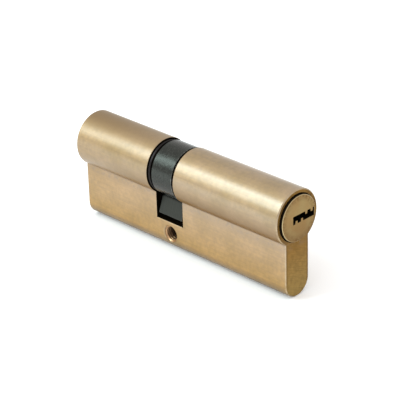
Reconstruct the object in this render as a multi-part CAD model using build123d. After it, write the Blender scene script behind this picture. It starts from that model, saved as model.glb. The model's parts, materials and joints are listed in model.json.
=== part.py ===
from build123d import *

import os
from math import cos, radians, sin

# Euro profile double cylinder for a mortise lock, 80 mm long, keyed on both sides.
# All sizes are in millimetres. X runs along the barrel, Z points from the web up to the barrel.
# The origin is where the barrel's axis crosses the middle of the cam slot. The long half of the
# lock, towards +X, is called front, and the short half rear.

# Housing
front_length = 45.0
rear_length = 35.0
barrel_radius = 8.4
web_width = 9.6
web_drop = 24.6
end_chamfer = 0.3
slot_half_width = 5.3
slot_floor = -15.1
slot_corner = 0.4
burr_chamfer = 0.12
fixing_radius = 2.5
fixing_height = -19.0
fixing_chamfer = 0.3

# Plugs
plug_radius = 6.5
bore_clearance = 0.05
head_radius = 6.9
head_clearance = 0.2
head_seat_depth = 1.5
head_proud = 0.8
head_chamfer = 0.15
seat_chamfer = 0.15
tail_end = 1.5
journal_radius = 5.5
land_start = 3.4
groove_start = 4.4
groove_end = 5.25
groove_radius = 5.6
dog_window_depth = 1.5
dog_cavity_radius = 4.0
dog_cavity_end = 5.8

# Keyway: a flat slot with two ribs standing on its floor and two hanging from its roof
keyway_low = -2.5
keyway_high = 6.15
keyway_height = 2.5
floor_ribs = (-1.1, 1.15)
roof_ribs = (2.9, 5.15)
rib_base = 1.0
rib_crest = 0.7
rib_height = 0.9

# Pin stacks, six on each side, counted from the face inwards
first_pin = 5.5
pin_pitch = 4.0
pin_count = 6
cut_depths_front = (0.6, 0.3, 1.2, 0.9, 0.3, 0.6)
cut_depths_rear = (0.9, 0.6, 0.3, 1.2, 0.6, 0.9)
chamber_radius = 1.5
pin_radius = 1.45
pin_edge = 0.3
neck_radius = 1.0
neck_step = -2.6
tip_radius = 0.85
tip_flat_radius = 0.3
tip_cone = 0.55
tip_stop = 0.6
key_clearance = 0.1
key_pin_foot = -6.4
driver_top = -6.56
driver_length = 4.2
spool_numbers = (2, 5)
spool_waist = 1.05
spool_collar = 0.8
cap_top = -22.0
cap_sink = 0.06
spring_radius = 1.2
spring_wire = 0.32
spring_turns = 9
spring_gap = 0.02

# Cam, clutch and retaining rings
cam_ring_radius = 8.1
cam_ring_front = 4.35
cam_ring_rear = -3.6
cam_lever_radius = 14.2
cam_lever_half = 4.7
cam_lever_root = 8.0
cam_lever_angle = 19.3
cam_corner = 0.35
running_gap = 0.05
drive_slot_width = 2.7
drive_slot_reach = 6.75
clutch_travel = 1.8
clutch_stem_radius = 1.9
clutch_stem_half = 4.5
clutch_dog_reach = 3.85
clutch_dog_length = 1.3
clutch_bar_reach = 6.65
clutch_bar_length = 1.1
clutch_width = 2.5
clip_inner = 5.65
clip_outer = 7.9
clip_start = 4.45
clip_end = 5.2
clip_opening = 100.0
clip_turn_front = 45.0
clip_turn_rear = 135.0

far = 60.0
tolerance = 1e-3
turn_round = Rot(0, 0, 180)


def rod(radius, start, end):
    """A round bar along X between two stations."""
    return extrude(Plane.YZ.offset(start) * Circle(radius), end - start)


def upright(radius, x, bottom, top):
    """A round bar along Z at station x."""
    return Pos(x, 0, bottom) * Cylinder(
        radius, top - bottom, align=(Align.CENTER, Align.CENTER, Align.MIN)
    )


def block(x_low, x_high, y_low, y_high, z_low, z_high):
    """A box given by its six faces."""
    return Pos(x_low, y_low, z_low) * Box(
        x_high - x_low, y_high - y_low, z_high - z_low, align=(Align.MIN, Align.MIN, Align.MIN)
    )


def pin_stations(half_length):
    """Distances from the middle of the lock to the pin stacks of one side, the face's pin first."""
    return [half_length - first_pin - pin_pitch * number for number in range(pin_count)]


def profile():
    """The cross-section: a round barrel over a narrow web with a fully rounded foot."""
    foot_centre = web_width / 2 - web_drop
    web = Pos(0, foot_centre / 2) * Rectangle(web_width, -foot_centre)
    foot = Pos(0, foot_centre) * Circle(web_width / 2)
    return Circle(barrel_radius) + web + foot


def cam_slot():
    """The gap that the cam turns in, open at both sides and at the top."""
    gap = block(-slot_half_width, slot_half_width, -far, far, slot_floor, far)
    floor_edges = gap.edges().filter_by(Axis.Y).group_by(Axis.Z)[0]
    return fillet(floor_edges, slot_corner)


def make_bar():
    """The drawn bar with its ends chamfered and the cam's gap milled out and deburred."""
    bar = extrude(Plane.YZ.offset(-rear_length) * profile(), front_length + rear_length)
    ends = bar.faces().filter_by(Axis.X)
    bar = chamfer(ends.edges(), end_chamfer)
    bar -= cam_slot()
    mouth = [
        edge
        for edge in bar.edges()
        if abs(abs(edge.center().X) - slot_half_width) < tolerance
        and edge.bounding_box().size.X < tolerance
        and edge.center().Z > slot_floor + slot_corner
    ]
    return chamfer(mouth, burr_chamfer)


def round_rims(shape, radius):
    """The circular edges of one radius."""
    circles = shape.edges().filter_by(GeomType.CIRCLE)
    return [edge for edge in circles if abs(edge.radius - radius) < tolerance]


def bore_for_plug(bar, sign, half_length):
    """One side's counterbore for the plug's head, and its row of pin chambers."""
    seat_floor = half_length - head_seat_depth
    bar -= rod(head_radius + head_clearance, *sorted((sign * seat_floor, sign * far)))
    for station in pin_stations(half_length):
        bar -= upright(chamber_radius, sign * station, -far, 0)
    return bar


def make_housing():
    """The brass bar, bored for the plugs and drilled from below for the pin stacks."""
    bar = make_bar() - rod(plug_radius + bore_clearance, -far, far)
    bar = bore_for_plug(bar, 1, front_length)
    bar = bore_for_plug(bar, -1, rear_length)
    seat_rims = round_rims(bar, head_radius + head_clearance)
    mouths = [edge for edge in seat_rims if edge.center().X in (front_length, -rear_length)]
    bar = chamfer(mouths, seat_chamfer)
    bar -= Pos(0, 0, fixing_height) * Rot(90, 0, 0) * Cylinder(fixing_radius, far)
    return chamfer(round_rims(bar, fixing_radius), fixing_chamfer)


def keyway(start, end):
    """The keyway's section, carried along X between two stations."""
    width = keyway_high - keyway_low
    slot = Pos(keyway_low + width / 2, 0) * Rectangle(width, keyway_height)
    floor = -keyway_height / 2
    rib = make_face(
        Polyline(
            (-rib_base / 2, floor - rib_height),
            (rib_base / 2, floor - rib_height),
            (rib_base / 2, floor),
            (rib_crest / 2, floor + rib_height),
            (-rib_crest / 2, floor + rib_height),
            (-rib_base / 2, floor),
            close=True,
        )
    )
    for position in floor_ribs:
        slot -= Pos(position, 0) * rib
    for position in roof_ribs:
        slot -= Pos(position, 0) * Rot(0, 0, 180) * rib
    return extrude(Plane.YZ.offset(start) * slot, end - start)


def make_plug(half_length):
    """A plug for the +X side: head, pin holes, clip groove, and a tail that carries the cam."""
    face = half_length + head_proud
    head_back = half_length - head_seat_depth + running_gap
    plug = rod(journal_radius, tail_end, land_start) + rod(plug_radius, land_start, head_back)
    plug -= rod(far, groove_start, groove_end) - rod(groove_radius, groove_start, groove_end)
    head = rod(head_radius, head_back, face)
    head = chamfer(head.edges().group_by(Axis.X)[-1], head_chamfer)
    plug += head
    wall_end = tail_end + dog_window_depth
    plug -= rod(dog_cavity_radius, wall_end, dog_cavity_end)
    window_half = clutch_dog_reach + running_gap
    plug -= block(
        0, wall_end, -drive_slot_width / 2, drive_slot_width / 2, -window_half, window_half
    )
    plug -= rod(clutch_stem_radius + bore_clearance, 0, wall_end)
    plug -= keyway(dog_cavity_end - running_gap, far)
    for station in pin_stations(half_length):
        plug -= upright(chamber_radius, station, -far, neck_step)
        plug -= upright(neck_radius, station, neck_step, 0)
    return plug


def make_key_pin(station, cut_depth):
    """A pin with a coned tip that reads the key, at the height the key holds it."""
    tip_top = key_clearance - keyway_height / 2 + cut_depth
    shoulder = tip_top - (tip_stop - neck_step)
    outline = Polyline(
        (0, key_pin_foot),
        (pin_radius - pin_edge, key_pin_foot),
        (pin_radius, key_pin_foot + pin_edge),
        (pin_radius, shoulder - pin_edge / 2),
        (pin_radius - pin_edge / 2, shoulder),
        (tip_radius, shoulder),
        (tip_radius, tip_top - tip_cone),
        (tip_flat_radius, tip_top),
        (0, tip_top),
        close=True,
    )
    return Pos(station, 0, 0) * revolve(Plane.XZ * make_face(outline), Axis.Z)


def make_driver_pin(station, number):
    """A pin that blocks the plug, plain or waisted like a spool."""
    bottom = driver_top - driver_length
    points = [
        (0, bottom),
        (pin_radius - pin_edge, bottom),
        (pin_radius, bottom + pin_edge),
    ]
    if number in spool_numbers:
        points += [
            (pin_radius, bottom + spool_collar),
            (spool_waist, bottom + spool_collar),
            (spool_waist, driver_top - spool_collar),
            (pin_radius, driver_top - spool_collar),
        ]
    points += [
        (pin_radius, driver_top - pin_edge),
        (pin_radius - pin_edge, driver_top),
        (0, driver_top),
    ]
    return Pos(station, 0, 0) * revolve(Plane.XZ * make_face(Polyline(*points, close=True)), Axis.Z)


def make_cap(station):
    """The brass disc that closes a chamber, following the round of the foot just inside it."""
    foot = rod(web_width / 2 - cap_sink, -far, far)
    disc = upright(chamber_radius, station, -web_drop, cap_top)
    return disc & (Pos(0, 0, web_width / 2 - web_drop) * foot)


def make_spring(station):
    """An open coil spring, its ends ground flat between the cap and the driver pin."""
    low = cap_top + spring_gap
    high = driver_top - driver_length - spring_gap
    pitch = (high - low) / spring_turns
    path = Helix(pitch, high - low + pitch, spring_radius)
    section = Plane(path @ 0, z_dir=path % 0) * Circle(spring_wire / 2)
    coil = Pos(0, 0, low - pitch / 2) * sweep(section, path=path, is_frenet=True)
    envelope = upright(chamber_radius, 0, low, high)
    return Pos(station, 0, 0) * (coil & envelope)


def sector(radius, half_angle):
    """A pie slice about the X axis, symmetric about its direction, which points down."""
    across = radius * sin(radians(half_angle))
    down = -radius * cos(radians(half_angle))
    slice_face = make_face(Polyline((0, 0), (-across, down), (across, down), close=True))
    return extrude(Plane.YZ.offset(-far) * slice_face, 2 * far)


def make_lever():
    """The cam's lever, which overhangs both ends of the ring and clears the retaining rings."""
    lever = rod(cam_lever_radius, -cam_lever_half, cam_lever_half)
    lever -= rod(cam_lever_root, -far, cam_ring_rear)
    lever -= rod(cam_lever_root, cam_ring_front, far)
    lever &= sector(2 * cam_lever_radius, cam_lever_angle)
    tip_corner = -cam_lever_radius * cos(radians(cam_lever_angle))
    tip_edges = [
        edge for edge in lever.edges() if edge.bounding_box().min.Z < tip_corner + tolerance
    ]
    return fillet(tip_edges, cam_corner)


def make_cam():
    """The cam: a ring that rides on both plug tails, with the lever that throws the bolt."""
    ring = rod(cam_ring_radius, cam_ring_rear, cam_ring_front)
    ring = chamfer(ring.edges().filter_by(GeomType.CIRCLE), burr_chamfer)
    cam = ring + make_lever()
    cam -= rod(journal_radius + running_gap, -far, far)
    seat_radius = plug_radius + 2 * running_gap
    seat_start = land_start - running_gap
    cam -= rod(seat_radius, seat_start, far)
    cam -= rod(seat_radius, -far, -seat_start)
    half_slot = drive_slot_width / 2
    cam -= block(-far, far, -half_slot, half_slot, -drive_slot_reach, drive_slot_reach)
    return cam


def make_clutch():
    """The sliding dog, pushed to the rear so that its front dog sits in the front plug's window."""
    middle = -clutch_travel / 2
    stem = rod(clutch_stem_radius, middle - clutch_stem_half, middle + clutch_stem_half)
    stem = chamfer(stem.edges().filter_by(GeomType.CIRCLE), pin_edge)
    window_middle = tail_end + dog_window_depth / 2
    dog_stations = (window_middle, -window_middle - clutch_travel)
    clutch = stem
    plates = [(x, clutch_dog_length, clutch_dog_reach) for x in dog_stations]
    plates.append((middle, clutch_bar_length, clutch_bar_reach))
    for station, length, reach in plates:
        plate = rod(reach, station - length / 2, station + length / 2)
        clutch += plate & block(-far, far, -clutch_width / 2, clutch_width / 2, -far, far)
    return clutch


def make_clip(turn):
    """The open retaining ring that keeps a plug in the housing, its opening turned off straight up."""
    ring = rod(clip_outer, clip_start, clip_end) - rod(clip_inner, clip_start, clip_end)
    ring -= Rot(180, 0, 0) * sector(2 * clip_outer, clip_opening / 2)
    ring = chamfer(ring.edges().filter_by(GeomType.CIRCLE), burr_chamfer)
    return Rot(turn, 0, 0) * ring


def save(node, shape):
    """Writes one node's solid."""
    export_step(shape, f"parts/{node}.step")


os.makedirs("parts", exist_ok=True)
save("housing", make_housing())
save("plug_front", make_plug(front_length))
save("plug_rear", turn_round * make_plug(rear_length))
save("circlip_front", make_clip(clip_turn_front))
save("circlip_rear", turn_round * make_clip(clip_turn_rear))
save("cam", make_cam())
save("clutch", make_clutch())

sides = (
    ("front", pin_stations(front_length), cut_depths_front, 1),
    ("rear", pin_stations(rear_length), cut_depths_rear, -1),
)
for side, stations, cut_depths, sign in sides:
    for number, (station, cut_depth) in enumerate(zip(stations, cut_depths), 1):
        x = sign * station
        save(f"key_pin_{side}_{number}", make_key_pin(x, cut_depth))
        save(f"driver_pin_{side}_{number}", make_driver_pin(x, number))
        save(f"spring_{side}_{number}", make_spring(x))
        save(f"chamber_cap_{side}_{number}", make_cap(x))
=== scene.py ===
import json
import math

import bpy
import numpy as np
from mathutils import Matrix, Vector


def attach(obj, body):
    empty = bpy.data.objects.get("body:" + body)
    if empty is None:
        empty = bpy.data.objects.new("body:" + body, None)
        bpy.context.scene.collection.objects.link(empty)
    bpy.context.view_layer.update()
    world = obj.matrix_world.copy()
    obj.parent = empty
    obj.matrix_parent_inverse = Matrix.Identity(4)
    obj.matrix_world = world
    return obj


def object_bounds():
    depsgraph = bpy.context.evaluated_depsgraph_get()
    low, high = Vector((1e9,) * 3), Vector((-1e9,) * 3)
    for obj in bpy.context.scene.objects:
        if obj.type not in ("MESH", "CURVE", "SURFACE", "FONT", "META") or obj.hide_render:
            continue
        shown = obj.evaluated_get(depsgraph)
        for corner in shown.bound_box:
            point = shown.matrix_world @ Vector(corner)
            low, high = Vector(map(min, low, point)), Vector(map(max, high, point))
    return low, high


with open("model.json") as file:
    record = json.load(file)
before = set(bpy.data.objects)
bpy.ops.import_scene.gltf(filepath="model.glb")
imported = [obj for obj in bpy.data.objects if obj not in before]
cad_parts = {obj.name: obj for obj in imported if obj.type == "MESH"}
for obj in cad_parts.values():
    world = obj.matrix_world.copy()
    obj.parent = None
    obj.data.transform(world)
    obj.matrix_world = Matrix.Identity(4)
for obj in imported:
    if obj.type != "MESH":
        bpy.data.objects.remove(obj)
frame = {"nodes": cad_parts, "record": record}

boxLow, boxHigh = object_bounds()  # the machined lock, before any piece is added

stage = {
    "floorSide": 4.0,
    "floorRoughness": 0.9,
    "floorShine": 0.1,
    "floorColour": (0.96, 0.975, 0.99),
    "floorGlow": 0.14,
    "skyColour": (1.0, 0.985, 0.965),
    "skyStrength": 0.84,
}

softboxes = {
    "windowLow": {
        "azimuth": -28, "elevation": 34, "distance": 0.9,
        "wide": 0.24, "tall": 0.34, "watts": 2.3, "colour": (0.80, 0.97, 1.0),
    },
    "windowMiddle": {
        "azimuth": -40, "elevation": 48, "distance": 0.9,
        "wide": 0.24, "tall": 0.30, "watts": 1.0, "colour": (0.80, 0.97, 1.0),
    },
    "windowEdge": {
        "azimuth": -52, "elevation": 36, "distance": 0.9,
        "wide": 0.12, "tall": 0.62, "watts": 1.1, "colour": (0.82, 0.97, 1.0),
    },
    "topFill": {
        "azimuth": 20, "elevation": 80, "distance": 0.9,
        "wide": 0.9, "tall": 0.9, "watts": 2.4, "colour": (1.0, 0.98, 0.96),
    },
}

cameraFit = {
    "azimuth": 44.92,
    "elevation": 26.84,
    "roll": -1.70,
    "distance": 0.5285,
    "lens": 165.0,
    "aimRight": 0.0058,
    "aimUp": -0.00863,
}


# Unit vector from the lock to a viewer: azimuth 0 stands on the -Y side, 90 on the +X side.
def towards(azimuth, elevation):
    a, e = math.radians(azimuth), math.radians(elevation)
    return Vector((math.sin(a) * math.cos(e), -math.cos(a) * math.cos(e), math.sin(e)))


def makeCamera(fit):
    back = towards(fit["azimuth"], fit["elevation"])
    right = towards(fit["azimuth"] + 90, 0)
    up = back.cross(right)
    roll = math.radians(fit["roll"])
    cosine, sine = math.cos(roll), math.sin(roll)
    right, up = right * cosine + up * sine, up * cosine - right * sine
    place = back * fit["distance"] + right * fit["aimRight"] + up * fit["aimUp"]
    camera = bpy.data.objects.new("camera", bpy.data.cameras.new("camera"))
    camera.data.lens = fit["lens"]
    camera.data.clip_start = 0.01
    camera.matrix_world = Matrix((
        (right.x, up.x, back.x, place.x),
        (right.y, up.y, back.y, place.y),
        (right.z, up.z, back.z, place.z),
        (0, 0, 0, 1)))
    bpy.context.scene.collection.objects.link(camera)
    bpy.context.scene.camera = camera


def makeSoftbox(name, box):
    lamp = bpy.data.lights.new(name, "AREA")
    lamp.shape = "RECTANGLE"
    lamp.size = box["wide"]
    lamp.size_y = box["tall"]
    lamp.energy = box["watts"]
    lamp.color = box["colour"]
    holder = bpy.data.objects.new(name, lamp)
    away = towards(box["azimuth"], box["elevation"])
    holder.location = away * box["distance"]
    holder.rotation_mode = "QUATERNION"
    holder.rotation_quaternion = away.to_track_quat("Z", "Y")
    bpy.context.scene.collection.objects.link(holder)


def makeFloor(look):
    half, z = look["floorSide"] / 2, boxLow.z
    corners = [(-half, -half, z), (half, -half, z), (half, half, z), (-half, half, z)]
    mesh = bpy.data.meshes.new("floor")
    mesh.from_pydata(corners, [], [(0, 1, 2, 3)])
    floor = bpy.data.objects.new("floor", mesh)
    bpy.context.scene.collection.objects.link(floor)
    paper = bpy.data.materials.new("floorPaper")
    paper.use_nodes = True
    shader = paper.node_tree.nodes["Principled BSDF"]
    shader.inputs["Base Color"].default_value = (*look["floorColour"], 1)
    shader.inputs["Roughness"].default_value = look["floorRoughness"]
    shader.inputs["Specular IOR Level"].default_value = look["floorShine"]
    shader.inputs["Emission Color"].default_value = (1, 1, 1, 1)
    shader.inputs["Emission Strength"].default_value = look["floorGlow"]
    mesh.materials.append(paper)


def makeSky(look):
    world = bpy.data.worlds.new("studio")
    world.use_nodes = True
    sky = world.node_tree.nodes["Background"]
    sky.inputs["Color"].default_value = (*look["skyColour"], 1)
    sky.inputs["Strength"].default_value = look["skyStrength"]
    bpy.context.scene.world = world
    bpy.context.scene.view_settings.view_transform = "Standard"


makeCamera(cameraFit)
makeFloor(stage)
makeSky(stage)
for boxName, box in softboxes.items():
    makeSoftbox(boxName, box)
print("stage set")


# One node with its sockets filled, from values or from other nodes' sockets.
def addNode(tree, kind, inputs=None, **settings):
    node = tree.nodes.new(kind)
    for key, value in settings.items():
        setattr(node, key, value)
    for key, value in (inputs or {}).items():
        if isinstance(value, bpy.types.NodeSocket):
            tree.links.new(value, node.inputs[key])
        else:
            node.inputs[key].default_value = value
    return node


def calculate(tree, operation, first, second=0.0):
    return addNode(tree, "ShaderNodeMath", {0: first, 1: second}, operation=operation).outputs[0]


# Takes a value from one range to another, held at the ends.
def remap(tree, value, fromLow, fromHigh, toLow=0.0, toHigh=1.0, smooth=False):
    kind = "SMOOTHSTEP" if smooth else "LINEAR"
    limits = {"Value": value, 1: fromLow, 2: fromHigh, 3: toLow, 4: toHigh}
    return addNode(tree, "ShaderNodeMapRange", limits, interpolation_type=kind).outputs[0]


def blendColours(tree, factor, first, second, how="MIX"):
    inputs = {"Factor": factor, 6: first, 7: second}
    return addNode(tree, "ShaderNodeMix", inputs, data_type="RGBA", blend_type=how).outputs[2]


def multiplyColour(tree, colour, by):
    return blendColours(tree, 1.0, colour, by, "MULTIPLY")


# Lays a flat tone over a colour where a mask is one.
def layTone(tree, mask, colour, tone):
    return blendColours(tree, mask, colour, (*tone, 1))


# Turns a mask over: one where it was zero.
def outside(tree, mask):
    return remap(tree, mask, 0.0, 1.0, 1.0, 0.0)


# Noise over a vector, or with "1D" along a single value.
def addNoise(tree, where, scale, detail, dimensions="3D"):
    socket = "W" if dimensions == "1D" else "Vector"
    inputs = {socket: where, "Scale": scale, "Detail": detail}
    return addNode(tree, "ShaderNodeTexNoise", inputs, noise_dimensions=dimensions).outputs[0]


def scaleVector(tree, vector, scales):
    inputs = {0: vector, 1: scales}
    return addNode(tree, "ShaderNodeVectorMath", inputs, operation="MULTIPLY").outputs[0]


def lengthOf(tree, vector):
    return addNode(tree, "ShaderNodeVectorMath", {0: vector}, operation="LENGTH").outputs["Value"]


def splitVector(tree, vector):
    return addNode(tree, "ShaderNodeSeparateXYZ", {0: vector}).outputs


# A new group with its named sockets. Returns it with what it is given and what it puts out.
def startGroup(name, inputs, outputs):
    group = bpy.data.node_groups.new(name, "ShaderNodeTree")
    for socketName, kind in inputs.items():
        group.interface.new_socket(socketName, in_out="INPUT", socket_type="NodeSocket" + kind)
    for socketName in outputs:
        group.interface.new_socket(socketName, in_out="OUTPUT", socket_type="NodeSocketFloat")
    given = group.nodes.new("NodeGroupInput").outputs
    return group, given, group.nodes.new("NodeGroupOutput").inputs


# Millimetres along the barrel, off its middle plane, up, and out from its axis.
def makePlaces():
    group, given, out = startGroup(
        "places", {"Vector": "Vector"}, ("Along", "Aside", "Up", "Radius"))
    inMillimetres = scaleVector(group, given["Vector"], (1000, 1000, 1000))
    along, aside, up = splitVector(group, inMillimetres)
    radius = lengthOf(group, scaleVector(group, inMillimetres, (0, 1, 1)))
    for name, value in {"Along": along, "Aside": aside, "Up": up, "Radius": radius}.items():
        group.links.new(value, out[name])
    return group


# How far a surface's normal leans along the barrel, for each kind of cut.
cutLeans = {
    "face": (0.90, 0.97),
    "bevelStart": (0.35, 0.60),
    "bevelEnd": (0.85, 0.95),
}


# Which surfaces were cut square to the barrel, and which are the small bevels round them.
def makeCutFaces(leans):
    group, given, out = startGroup("cutFaces", {"Normal": "Vector"}, ("Face", "Bevel"))
    lean = calculate(group, "ABSOLUTE", splitVector(group, given["Normal"])[0])
    group.links.new(remap(group, lean, *leans["face"]), out["Face"])
    slanted = remap(group, lean, *leans["bevelStart"])
    notFlat = remap(group, lean, *leans["bevelEnd"], 1.0, 0.0)
    group.links.new(calculate(group, "MULTIPLY", slanted, notFlat), out["Bevel"])
    return group


# One inside a span of a value, zero outside, with soft ends.
def makeSpan():
    sockets = {"Value": "Float", "From": "Float", "To": "Float", "Soft": "Float"}
    group, given, out = startGroup("span", sockets, ("Mask",))
    low = calculate(group, "SUBTRACT", given["Value"], given["From"])
    high = calculate(group, "SUBTRACT", given["To"], given["Value"])
    nearest = calculate(group, "MINIMUM", low, high)
    minusSoft = calculate(group, "MULTIPLY", given["Soft"], -1.0)
    mask = remap(group, nearest, minusSoft, given["Soft"], smooth=True)
    group.links.new(mask, out["Mask"])
    return group


# Noise stretched along the barrel, so that its blots become lines.
grainPattern = {
    "lineScales": (45, 2600, 2600),
    "lineDetail": 3.0,
    "scratchScales": (70, 1500, 1500),
    "scratchDetail": 1.0,
    "scratchCut": (0.66, 0.74),
}


# The die's marks: long fine lines along the barrel, and a few deeper scratches among them.
def makeDrawnGrain(pattern):
    sockets = {"Vector": "Vector", "Fineness": "Float"}
    group, given, out = startGroup("drawnGrain", sockets, ("Lines", "Scratches"))
    stretched = scaleVector(group, given["Vector"], pattern["lineScales"])
    lines = addNoise(group, stretched, given["Fineness"], pattern["lineDetail"])
    group.links.new(lines, out["Lines"])
    longer = scaleVector(group, given["Vector"], pattern["scratchScales"])
    marks = addNoise(group, longer, given["Fineness"], pattern["scratchDetail"])
    group.links.new(remap(group, marks, *pattern["scratchCut"]), out["Scratches"])
    return group


# Each layer's fineness is a multiple of the broad patches', and its cut keeps part of the noise.
tarnishPattern = {
    "patchDetail": 3.0,
    "patchCut": (0.34, 0.66),
    "mottleFineness": 6.0,
    "mottleDetail": 4.0,
    "mottleCut": (0.30, 0.70),
    "speckFineness": 19.0,
    "speckDetail": 2.0,
    "speckCut": (0.66, 0.76),
}


# Handling and air: broad cloudy patches, a finer mottle, and small dark specks.
def makeTarnish(pattern):
    sockets = {"Vector": "Vector", "Size": "Float"}
    group, given, out = startGroup("tarnish", sockets, ("Patches", "Mottle", "Specks"))
    perSize = calculate(group, "DIVIDE", 1.0, given["Size"])
    clouds = addNoise(group, given["Vector"], perSize, pattern["patchDetail"])
    group.links.new(remap(group, clouds, *pattern["patchCut"], smooth=True), out["Patches"])
    for name, layer in {"Mottle": "mottle", "Specks": "speck"}.items():
        fineness = calculate(group, "MULTIPLY", perSize, pattern[layer + "Fineness"])
        noise = addNoise(group, given["Vector"], fineness, pattern[layer + "Detail"])
        group.links.new(remap(group, noise, *pattern[layer + "Cut"]), out[name])
    return group


# Lathe marks: rings on a turned face, and lines round a turned wall.
def makeTurnedMarks():
    sockets = {"Vector": "Vector", "Pitch": "Float"}
    group, given, out = startGroup("turnedMarks", sockets, ("Rings", "Rounds"))
    radius = lengthOf(group, scaleVector(group, given["Vector"], (0, 1, 1)))
    along = splitVector(group, given["Vector"])[0]
    for name, value in {"Rings": radius, "Rounds": along}.items():
        count = calculate(group, "DIVIDE", value, given["Pitch"])
        feed = addNoise(group, count, scale=1.0, detail=2.0, dimensions="1D")
        group.links.new(feed, out[name])
    return group


cutterScales = (300, 260, 5200)  # noise flattened in height, so that its blots become lines


# Cutter marks: fine near-straight lines over a sawn or milled face, slanting a little.
def makeMilledMarks(scales):
    sockets = {"Vector": "Vector", "Slant": "Float"}
    group, given, out = startGroup("milledMarks", sockets, ("Lines",))
    slanted = {"Vector": given["Vector"], "Angle": given["Slant"]}
    turned = addNode(group, "ShaderNodeVectorRotate", slanted, rotation_type="X_AXIS").outputs[0]
    stretched = scaleVector(group, turned, scales)
    group.links.new(addNoise(group, stretched, scale=1.0, detail=2.0), out["Lines"])
    return group


groups = {
    "places": makePlaces(),
    "cutFaces": makeCutFaces(cutLeans),
    "span": makeSpan(),
    "drawnGrain": makeDrawnGrain(grainPattern),
    "tarnish": makeTarnish(tarnishPattern),
    "turnedMarks": makeTurnedMarks(),
    "milledMarks": makeMilledMarks(cutterScales),
}


def useGroup(tree, name, **inputs):
    return addNode(tree, "ShaderNodeGroup", inputs, node_tree=groups[name]).outputs


def span(tree, value, low, high, soft):
    return useGroup(tree, "span", Value=value, From=low, To=high, Soft=soft)["Mask"]


def times(tree, *values):
    product = values[0]
    for value in values[1:]:
        product = calculate(tree, "MULTIPLY", product, value)
    return product


def either(tree, *values):
    most = values[0]
    for value in values[1:]:
        most = calculate(tree, "MAXIMUM", most, value)
    return most


# Adds marks to a starting number, each with the weight that goes by its name.
def mixMarks(tree, start, marks, weights):
    total = start
    for name, weight in weights.items():
        weighted = calculate(tree, "MULTIPLY", marks[name], weight)
        total = calculate(tree, "ADD", weighted, total)
    return total


def startMetal(name):
    metal = bpy.data.materials.new(name)
    metal.use_nodes = True
    tree = metal.node_tree
    shader = tree.nodes["Principled BSDF"]
    shader.inputs["Metallic"].default_value = 1.0
    coords = addNode(tree, "ShaderNodeTexCoord").outputs
    return metal, tree, shader, coords


def finishMetal(tree, shader, colour, roughness, height, depth):
    tree.links.new(colour, shader.inputs["Base Color"])
    tree.links.new(roughness, shader.inputs["Roughness"])
    bump = addNode(tree, "ShaderNodeBump", {"Height": height, "Distance": depth, "Strength": 1.0})
    tree.links.new(bump.outputs[0], shader.inputs["Normal"])


# Three numbers are a colour. Four are a mark's range of values and the range that it becomes,
# which multiplies a colour or masks one.
housingFinish = {
    "olive": (0.335, 0.215, 0.070),
    "rosy": (0.385, 0.250, 0.106),
    "streaks": (0.3, 0.7, 0.91, 1.07),
    "mottle": (0.0, 1.0, 0.88, 1.10),
    "spots": (0.3, 1.0, 0.15, 0.6),
    "webTop": (1.10, 1.02, 0.92),
    "webLow": (1.16, 1.03, 0.50),
    # Painted shade: the next two tones darken the web's rounded foot and the barrel's underside.
    "foot": (0.40, 0.33, 0.18),
    "underside": (0.22, 0.110, 0.020),
    "undersideDepth": (0.35, 0.95),
    "milled": (0.290, 0.161, 0.041),
    "milledPale": (0.345, 0.230, 0.076),
    "cutterLines": (0.3, 0.7, 0.88, 1.12),
    "cutterSlant": math.radians(24),
    "endRim": (0.15, 0.080, 0.022),
    "endRimDepth": 0.8,
    "endRimBreaks": (0.2, 0.7, 0.3, 1.0),
    "worn": (0.50, 0.38, 0.22),
    "wear": (0.2, 0.8, 0.3, 0.8),
    # A brown for tarnish spots, also laid as painted shade in the crease.
    "spotAndCreaseShadeBrown": (0.25, 0.16, 0.08),
    "creaseBreaks": (0.0, 1.0, 0.5, 0.9),
    "creaseShadeBreaks": (0.35, 0.8, 0.0, 0.7),
    "oldSkin": (0.29, 0.185, 0.075),
    # Painted shade: a near-black for the cam slot's walls and the bores.
    "recessShade": (0.006, 0.004, 0.002),
    "recessShadeDepth": 0.985,
    "boreFaceShade": 0.6,
    "patchSize": 0.007,
    "roughness": 0.53,
    "lacquer": 1.0,
    "lacquerIor": 2.15,
    "lacquerRoughness": 0.28,
    "lacquerLoss": {"underside": 0.85, "oldSkin": 0.6, "web": 0.6, "rear": 0.35},
    "rougher": {"lines": 0.10, "patches": -0.05, "cutFace": 0.10, "recessShade": 0.35},
    "bumps": {"drawnLines": 0.10, "scratches": -0.12, "cutterLines": 0.35, "specks": -0.12},
    "bumpDepth": 0.00002,
}

# Where each mark begins and ends on the housing, in millimetres: up from the barrel's axis, along
# it, out from it, or off the middle plane. A third number is the softness of both ends.
housingRegions = {
    "web": (-6.95, -6.90),
    "webShade": (-22, -8),
    "foot": (-20.0, -23.5),
    "underside": (1.5, -5.0),
    "undersideAlong": (-40, 5),
    "milledShade": (-22, -9),
    "endRim": (3.6, 4.5),
    "creaseShadeBand": (-9.0, -5.5, 1.0),
    "crease": (-7.05, -6.75, 0.15),
    "crown": (5.0, 8.0),
    "crownAlong": (25, -35),
    "slotWidth": (5.33, 5.36),
    "slotFloor": (-15.16, -15.12),
    "bore": (7.12, 7.16),
    "dulledWeb": (-8.0, -23.0),
    "dulledAlong": (15, -35),
}


# Drawn brass: two mingled tones with streaks, mottle and brown spots.
def drawnTone(tree, grain, air, look):
    colour = blendColours(tree, air["Patches"], (*look["olive"], 1), (*look["rosy"], 1))
    colour = multiplyColour(tree, colour, remap(tree, grain["Lines"], *look["streaks"]))
    colour = multiplyColour(tree, colour, remap(tree, air["Mottle"], *look["mottle"]))
    spots = times(tree, air["Specks"], remap(tree, air["Patches"], *look["spots"]))
    return layTone(tree, spots, colour, look["spotAndCreaseShadeBrown"])
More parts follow.
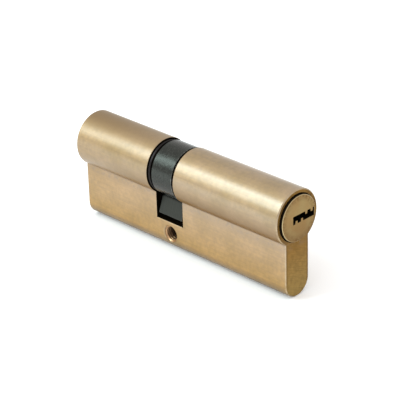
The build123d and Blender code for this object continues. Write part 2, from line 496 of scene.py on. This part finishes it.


# The web is warmer towards its foot. Painted shade darkens the web's rounded foot and the barrel's
# underside, which takes a browner tone than its crown.
def shadeSides(tree, colour, place, web, undersideShade, look, region):
    webShade = remap(tree, place["Up"], *region["webShade"])
    tint = blendColours(tree, webShade, (*look["webLow"], 1), (*look["webTop"], 1))
    tint = layTone(tree, remap(tree, place["Up"], *region["foot"]), tint, look["foot"])
    colour = blendColours(tree, web, colour, tint, "MULTIPLY")
    return layTone(tree, undersideShade, colour, look["underside"])


# The end faces, with their cutter lines and a brown rim. Their darker tone is partly a sawn finish
# and partly painted shade for the dim floor they face.
def milledTone(tree, place, air, milled, look, region):
    footward = remap(tree, place["Up"], *region["milledShade"])
    tone = blendColours(tree, footward, (*look["milledPale"], 1), (*look["milled"], 1))
    lines = remap(tree, milled["Lines"], *look["cutterLines"])
    mottled = remap(tree, air["Mottle"], *look["mottle"])
    tone = multiplyColour(tree, tone, times(tree, lines, mottled))
    fromMiddle = calculate(tree, "ABSOLUTE", place["Aside"])
    nearRim = remap(tree, fromMiddle, *region["endRim"], 0.0, look["endRimDepth"])
    rim = times(tree, nearRim, remap(tree, air["Mottle"], *look["endRimBreaks"]))
    return layTone(tree, rim, tone, look["endRim"])


# Painted shade in the crease between barrel and web: a dark brown line, and a wider patchy band of
# painted shade about it.
def paintCreaseShade(tree, colour, place, air, look, region):
    patchy = remap(tree, air["Mottle"], *look["creaseShadeBreaks"])
    creaseShadeBand = times(tree, span(tree, place["Up"], *region["creaseShadeBand"]), patchy)
    colour = layTone(tree, creaseShadeBand, colour, look["spotAndCreaseShadeBrown"])
    broken = remap(tree, air["Mottle"], *look["creaseBreaks"])
    crease = times(tree, span(tree, place["Up"], *region["crease"]), broken)
    return layTone(tree, crease, colour, look["spotAndCreaseShadeBrown"])


# The walls of the cam slot and of the bores, painted near-black as shade.
def recessShadeMask(tree, place, cut, look, region):
    offCentre = calculate(tree, "ABSOLUTE", place["Along"])
    slotWalls = times(tree, remap(tree, offCentre, *region["slotWidth"], 1.0, 0.0),
                      remap(tree, place["Up"], *region["slotFloor"]))
    bores = times(tree, remap(tree, place["Radius"], *region["bore"], 1.0, 0.0),
                  remap(tree, cut["Face"], 0.0, 1.0, 1.0, look["boreFaceShade"]))
    return either(tree, slotWalls, bores)


def makeHousingBrass(look, region):
    metal, tree, shader, coords = startMetal("housingBrass")
    shader.inputs["Coat IOR"].default_value = look["lacquerIor"]
    shader.inputs["Coat Roughness"].default_value = look["lacquerRoughness"]
    place = useGroup(tree, "places", Vector=coords["Object"])
    cut = useGroup(tree, "cutFaces", Normal=coords["Normal"])
    grain = useGroup(tree, "drawnGrain", Vector=coords["Object"], Fineness=1.0)
    air = useGroup(tree, "tarnish", Vector=coords["Object"], Size=look["patchSize"])
    milled = useGroup(tree, "milledMarks", Vector=coords["Object"], Slant=look["cutterSlant"])

    web = remap(tree, place["Up"], *region["web"], 1.0, 0.0)
    # Painted shade on the barrel's underside, clear of the web.
    undersideShade = times(tree, remap(tree, place["Up"], *region["underside"]),
                  remap(tree, place["Along"], *region["undersideAlong"], *look["undersideDepth"]),
                  outside(tree, web))
    oldSkin = times(tree, remap(tree, place["Along"], *region["crownAlong"], smooth=True),
                    remap(tree, place["Up"], *region["crown"]))
    # Painted shade in the cam slot and the bores; the coat is left off there too.
    recessShade = recessShadeMask(tree, place, cut, look, region)
    worn = times(tree, cut["Bevel"], remap(tree, air["Mottle"], *look["wear"]))

    colour = drawnTone(tree, grain, air, look)
    colour = shadeSides(tree, colour, place, web, undersideShade, look, region)
    endFace = milledTone(tree, place, air, milled, look, region)
    colour = blendColours(tree, cut["Face"], colour, endFace)
    colour = layTone(tree, worn, colour, look["worn"])
    colour = paintCreaseShade(tree, colour, place, air, look, region)
    colour = layTone(tree, oldSkin, colour, look["oldSkin"])
    colour = layTone(tree, times(tree, recessShade, look["recessShadeDepth"]), colour, look["recessShade"])

    marks = {
        "lines": grain["Lines"],
        "patches": air["Patches"],
        "cutFace": cut["Face"],
        "recessShade": recessShade,
        "drawnLines": times(tree, grain["Lines"], outside(tree, cut["Face"])),
        "scratches": grain["Scratches"],
        "cutterLines": times(tree, milled["Lines"], cut["Face"]),
        "specks": air["Specks"],
    }
    roughness = mixMarks(tree, look["roughness"], marks, look["rougher"])
    height = mixMarks(tree, 0.0, marks, look["bumps"])
    loss = look["lacquerLoss"]
    dulled = either(tree, times(tree, undersideShade, loss["underside"]),
                    times(tree, oldSkin, loss["oldSkin"]),
                    remap(tree, place["Up"], *region["dulledWeb"], 0.0, loss["web"]),
                    remap(tree, place["Along"], *region["dulledAlong"], 0.0, loss["rear"]))
    lacquered = calculate(tree, "SUBTRACT", 1.0, either(tree, cut["Face"], recessShade, dulled))
    tree.links.new(times(tree, lacquered, look["lacquer"]), shader.inputs["Coat Weight"])
    finishMetal(tree, shader, colour, roughness, height, look["bumpDepth"])
    return metal


plugFinish = {
    "face": (0.285, 0.172, 0.062),
    "facePale": (0.310, 0.215, 0.086),
    "brownShade": (0.165, 0.088, 0.028),
    "lowerShade": 0.5,
    "body": (0.60, 0.45, 0.22),
    "rings": (0.3, 0.7, 0.93, 1.05),
    "ringPitch": 0.00016,
    "worn": (0.50, 0.39, 0.22),
    "wear": 0.8,
    # Painted shade: a near-black for the head's side wall and the keyway's sides.
    "recessShade": (0.014, 0.010, 0.007),
    "recessShadeDepth": 0.985,
    "recessShadeEdge": (0.0, 0.3, 1.0, 0.0),
    "patchSize": 0.005,
    "roughness": 0.30,
    "rougher": {"rings": 0.10, "patches": 0.06, "recessShade": 0.3},
    "bumps": {"faceRings": 0.16, "wallRounds": 0.12, "specks": -0.10},
    "bumpDepth": 0.00002,
}

# Millimetres out from the axis, and for the lower half up from it.
plugRegions = {
    "rim": (4.6, 6.4),
    "lowerHalf": (1.0, -6.0),
    "headBevel": (6.60, 6.68),
    "headWall": (6.80, 6.86),
    "keyway": (6.38, 6.42),
}


def makePlugBrass(look, region):
    metal, tree, shader, coords = startMetal("plugBrass")
    place = useGroup(tree, "places", Vector=coords["Object"])
    cut = useGroup(tree, "cutFaces", Normal=coords["Normal"])
    air = useGroup(tree, "tarnish", Vector=coords["Object"], Size=look["patchSize"])
    lathe = useGroup(tree, "turnedMarks", Vector=coords["Object"], Pitch=look["ringPitch"])

    # The face is darker than the body, partly a turned finish and partly painted shade for the dim
    # floor it faces. Painted shade browns it towards its rim by the gap, and it is browner on its
    # lower half.
    tone = blendColours(tree, air["Patches"], (*look["face"], 1), (*look["facePale"], 1))
    rim = times(tree, remap(tree, place["Radius"], *region["rim"], smooth=True), air["Mottle"])
    tone = layTone(tree, rim, tone, look["brownShade"])
    lower = remap(tree, place["Up"], *region["lowerHalf"], 0.0, look["lowerShade"])
    tone = layTone(tree, lower, tone, look["brownShade"])
    colour = blendColours(tree, cut["Face"], (*look["body"], 1), tone)
    colour = multiplyColour(tree, colour, remap(tree, lathe["Rings"], *look["rings"]))
    onHead = remap(tree, place["Radius"], *region["headBevel"])
    worn = times(tree, cut["Bevel"], onHead, look["wear"])
    colour = layTone(tree, worn, colour, look["worn"])
    # Painted shade: the head's side wall in its bore and the keyway's sides go near-black.
    wall = remap(tree, either(tree, cut["Face"], cut["Bevel"]), *look["recessShadeEdge"])
    headWall = times(tree, remap(tree, place["Radius"], *region["headWall"]), wall)
    keySides = times(tree, remap(tree, place["Radius"], *region["keyway"], 1.0, 0.0), wall)
    recessShade = either(tree, headWall, keySides)
    colour = layTone(tree, times(tree, recessShade, look["recessShadeDepth"]), colour, look["recessShade"])

    marks = {
        "rings": lathe["Rings"],
        "patches": air["Patches"],
        "recessShade": recessShade,
        "faceRings": times(tree, lathe["Rings"], cut["Face"]),
        "wallRounds": times(tree, lathe["Rounds"], outside(tree, cut["Face"])),
        "specks": air["Specks"],
    }
    roughness = mixMarks(tree, look["roughness"], marks, look["rougher"])
    height = mixMarks(tree, 0.0, marks, look["bumps"])
    finishMetal(tree, shader, colour, roughness, height, look["bumpDepth"])
    return metal


camFinish = {
    "grey": (0.038, 0.041, 0.036),
    "greyPale": (0.056, 0.060, 0.053),
    "leverGrey": (0.045, 0.047, 0.040),
    "lowShade": 0.3,
    "rounds": (0.3, 0.7, 0.88, 1.12),
    "roundPitch": 0.00022,
    "worn": (0.22, 0.22, 0.20),
    "wear": (0.2, 0.8, 0.1, 0.7),
    "patchSize": 0.0035,
    "roughness": 0.15,
    "oil": 0.2,
    "oilRoughness": 0.22,
    "rougher": {"mottle": 0.12, "rounds": 0.08, "worn": -0.08, "lever": 0.22},
    "bumps": {"rounds": 0.12, "specks": -0.3, "mottle": 0.2},
    "bumpDepth": 0.000015,
}

# Millimetres: the lever starts outside the ring, and painted shade darkens the ring below the
# axis.
camRegions = {
    "lever": (8.6, 9.4),
    "low": (-5.0, 1.0),
}


def makeCamSteel(look, region):
    metal, tree, shader, coords = startMetal("camSteel")
    shader.inputs["Coat Roughness"].default_value = look["oilRoughness"]
    place = useGroup(tree, "places", Vector=coords["Object"])
    cut = useGroup(tree, "cutFaces", Normal=coords["Normal"])
    air = useGroup(tree, "tarnish", Vector=coords["Object"], Size=look["patchSize"])
    lathe = useGroup(tree, "turnedMarks", Vector=coords["Object"], Pitch=look["roundPitch"])

    colour = blendColours(tree, air["Mottle"], (*look["grey"], 1), (*look["greyPale"], 1))
    lever = remap(tree, place["Radius"], *region["lever"])
    # Painted shade: the ring's colour and oil coat fall off below its axis.
    low = remap(tree, place["Up"], *region["low"], look["lowShade"], 1.0)
    shade = either(tree, lever, low)
    colour = multiplyColour(tree, colour, shade)
    tree.links.new(times(tree, shade, look["oil"]), shader.inputs["Coat Weight"])
    colour = layTone(tree, lever, colour, look["leverGrey"])
    colour = multiplyColour(tree, colour, remap(tree, lathe["Rounds"], *look["rounds"]))
    worn = times(tree, cut["Bevel"], remap(tree, air["Mottle"], *look["wear"]))
    colour = layTone(tree, worn, colour, look["worn"])

    marks = {
        "mottle": air["Mottle"],
        "rounds": lathe["Rounds"],
        "worn": worn,
        "lever": lever,
        "specks": air["Specks"],
    }
    roughness = mixMarks(tree, look["roughness"], marks, look["rougher"])
    height = mixMarks(tree, 0.0, marks, look["bumps"])
    finishMetal(tree, shader, colour, roughness, height, look["bumpDepth"])
    return metal


# Small turned steel and brass pieces: one tone, its darker patches, and fine marks.
smallFinishes = {
    "clipSteel": {
        "tone": (0.040, 0.035, 0.034), "dull": (0.022, 0.019, 0.020),
        "roughness": 0.32, "patchSize": 0.003,
    },
    "clutchSteel": {
        "tone": (0.42, 0.42, 0.41), "dull": (0.26, 0.25, 0.23),
        "roughness": 0.34, "patchSize": 0.004,
    },
    "pinSteel": {
        "tone": (0.60, 0.60, 0.58), "dull": (0.42, 0.41, 0.38),
        "roughness": 0.22, "patchSize": 0.002,
    },
    "pinBrass": {
        "tone": (0.72, 0.55, 0.27), "dull": (0.52, 0.38, 0.17),
        "roughness": 0.22, "patchSize": 0.002,
    },
    "springSteel": {
        "tone": (0.54, 0.55, 0.56), "dull": (0.36, 0.35, 0.33),
        "roughness": 0.28, "patchSize": 0.0015,
    },
    "capBrass": {
        "tone": (0.60, 0.45, 0.24), "dull": (0.40, 0.28, 0.13),
        "roughness": 0.34, "patchSize": 0.002,
    },
    "threadBrass": {
        "tone": (0.62, 0.40, 0.22), "dull": (0.36, 0.20, 0.10),
        "roughness": 0.26, "patchSize": 0.002,
        "depthFrom": 1.7, "depthTo": 4.2, "deepest": 0.10,
    },
}

smallMarks = {
    "rings": (0.3, 0.7, 0.90, 1.08),
    "ringPitch": 0.00012,
    "rougher": {"mottle": 0.10, "cutFace": 0.04},
    "bumps": {"rings": 0.15, "specks": -0.25},
    "bumpDepth": 0.000012,
}


# Where a finish names a depth, painted shade also darkens the tone towards the lock's middle
# plane, deep in the hole.
def makeSmallMetal(name, look, shared):
    metal, tree, shader, coords = startMetal(name)
    cut = useGroup(tree, "cutFaces", Normal=coords["Normal"])
    air = useGroup(tree, "tarnish", Vector=coords["Object"], Size=look["patchSize"])
    lathe = useGroup(tree, "turnedMarks", Vector=coords["Object"], Pitch=shared["ringPitch"])
    colour = blendColours(tree, air["Mottle"], (*look["dull"], 1), (*look["tone"], 1))
    colour = multiplyColour(tree, colour, remap(tree, lathe["Rings"], *shared["rings"]))
    # Painted shade deep inside the fixing hole.
    if "deepest" in look:
        place = useGroup(tree, "places", Vector=coords["Object"])
        fromMiddle = calculate(tree, "ABSOLUTE", place["Aside"])
        shade = remap(tree, fromMiddle, look["depthFrom"], look["depthTo"], look["deepest"], 1.0)
        colour = multiplyColour(tree, colour, shade)
    marks = {
        "mottle": air["Mottle"],
        "cutFace": cut["Face"],
        "rings": lathe["Rings"],
        "specks": air["Specks"],
    }
    roughness = mixMarks(tree, look["roughness"], marks, shared["rougher"])
    height = mixMarks(tree, 0.0, marks, shared["bumps"])
    finishMetal(tree, shader, colour, roughness, height, shared["bumpDepth"])
    return metal


metals = {name: makeSmallMetal(name, look, smallMarks) for name, look in smallFinishes.items()}
metals["housingBrass"] = makeHousingBrass(housingFinish, housingRegions)
metals["plugBrass"] = makePlugBrass(plugFinish, plugRegions)
metals["camSteel"] = makeCamSteel(camFinish, camRegions)
print("metals mixed:", len(metals))

metalOfSlot = {
    "housing_brass": "housingBrass",
    "plug_brass": "plugBrass",
    "pin_brass": "pinBrass",
    "cam_steel": "camSteel",
    "clutch_steel": "clutchSteel",
    "clip_steel": "clipSteel",
    "pin_steel": "pinSteel",
    "spring_steel": "springSteel",
}

slotOfNode = {part["node"]: part["material_slot"] for part in frame["record"]["subparts"]}
for name, node in frame["nodes"].items():
    metalName = "capBrass" if name.startswith("chamber_cap") else metalOfSlot[slotOfNode[name]]
    node.data.materials.clear()
    node.data.materials.append(metals[metalName])
print("machined pieces finished:", len(frame["nodes"]))

thread = {
    "centreUp": -0.019,
    "halfLength": 0.0045,
    "pitch": 0.0008,
    "wallRadius": 0.00252,
    "rootRadius": 0.00248,
    "crestRadius": 0.00207,
    "leadIn": 0.0005,
    "around": 96,
    "samplesPerPitch": 16,
    "flankSteepness": 1.5,
    "rootShare": 0.2,
    "sharpFrom": math.radians(50),
}


# A sleeve about the fixing hole's axis. Its inner radius falls from the root to the crest and back
# once a pitch, and the wave runs round as a right-hand helix; the ridge fades out at both mouths.
def makeThread(size):
    rows = int(2 * size["halfLength"] / size["pitch"] * size["samplesPerPitch"]) + 1
    along = np.linspace(-size["halfLength"], size["halfLength"], rows)[:, None]
    angle = np.linspace(0, 2 * np.pi, size["around"], endpoint=False)[None, :]
    phase = (along / size["pitch"] + angle / (2 * np.pi)) % 1.0
    wave = 1 - np.abs(2 * phase - 1)
    slope = np.clip(wave * size["flankSteepness"] - size["rootShare"], 0, 1)
    ridge = slope * slope * (3 - 2 * slope)
    fade = np.clip((size["halfLength"] - np.abs(along)) / size["leadIn"], 0, 1)
    inner = size["rootRadius"] - (size["rootRadius"] - size["crestRadius"]) * ridge * fade
    outer = np.full((2, size["around"]), size["wallRadius"])
    radius = np.vstack([inner, outer])
    station = np.vstack([along, along[-1:], along[:1]]) * np.ones((1, size["around"]))
    height = size["centreUp"] + radius * np.sin(angle)
    points = np.stack([radius * np.cos(angle), station, height], axis=-1)
    ring = np.arange(rows + 2)[:, None] * size["around"]
    step = np.arange(size["around"])[None, :]
    after = (step + 1) % size["around"]
    nextRing = np.roll(ring, -1, axis=0)
    corners = [ring + step, ring + after, nextRing + after, nextRing + step]
    quads = np.stack(corners, axis=-1).reshape(-1, 4)
    mesh = bpy.data.meshes.new("fixingThread")
    mesh.from_pydata(points.reshape(-1, 3).tolist(), [], quads.tolist())
    mesh.shade_smooth()
    mesh.set_sharp_from_angle(angle=size["sharpFrom"])
    mesh.materials.append(metals["threadBrass"])
    piece = bpy.data.objects.new("fixingThread", mesh)
    bpy.context.scene.collection.objects.link(piece)
    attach(piece, "lock_body")
    return piece


makeThread(thread)
print("fixing thread cut")
